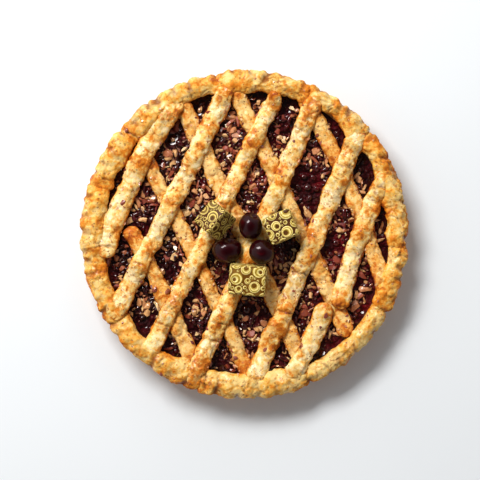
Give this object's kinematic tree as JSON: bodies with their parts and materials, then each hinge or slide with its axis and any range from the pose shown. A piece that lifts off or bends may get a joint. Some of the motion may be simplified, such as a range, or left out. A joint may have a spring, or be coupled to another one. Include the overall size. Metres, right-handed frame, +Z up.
{
  "type": "bramble linzer torte",
  "caption": "Round nut pastry torte filled with dark jam, under a hand-rolled lattice, with printed chocolates and cherries on top.",
  "frame": {"origin": "centre of the pastry case's flat underside, on the surface that the torte rests on", "axes": "+Z up, +Y towards the back edge, +X to the right when seen from the front"},
  "size_m": [0.2611, 0.2623, 0.0562],
  "materials": {
    "pastry": "golden baked nut dough with an egg wash",
    "jam": "wet, almost black red fruit jam",
    "nut": "chopped toasted nuts",
    "chocolate": "smooth dark chocolate",
    "print": "yellow gold edible print",
    "cherry": "glazed dark cherry skin"
  },
  "bodies": {
    "root": {"pastry_case": "pastry", "jam_filling": "jam", "under_roll_1": "pastry", "under_roll_2": "pastry", "under_roll_3": "pastry", "under_roll_4": "pastry", "under_roll_5": "pastry", "over_roll_1": "pastry", "over_roll_2": "pastry", "over_roll_3": "pastry", "over_roll_4": "pastry", "over_roll_5": "pastry", "over_roll_6": "pastry", "over_roll_7": "pastry", "rim_roll_1": "pastry", "rim_roll_2": "pastry", "rim_roll_3": "pastry", "rim_roll_4": "pastry", "rim_roll_5": "pastry", "rim_roll_6": "pastry", "rim_roll_7": "pastry", "rim_roll_8": "pastry", "rim_roll_9": "pastry", "rim_roll_10": "pastry", "chocolate_left": "chocolate", "chocolate_right": "chocolate", "chocolate_front": "chocolate", "cherry_back": "cherry", "cherry_left": "cherry", "cherry_right": "cherry"}
  },
  "joints": []
}
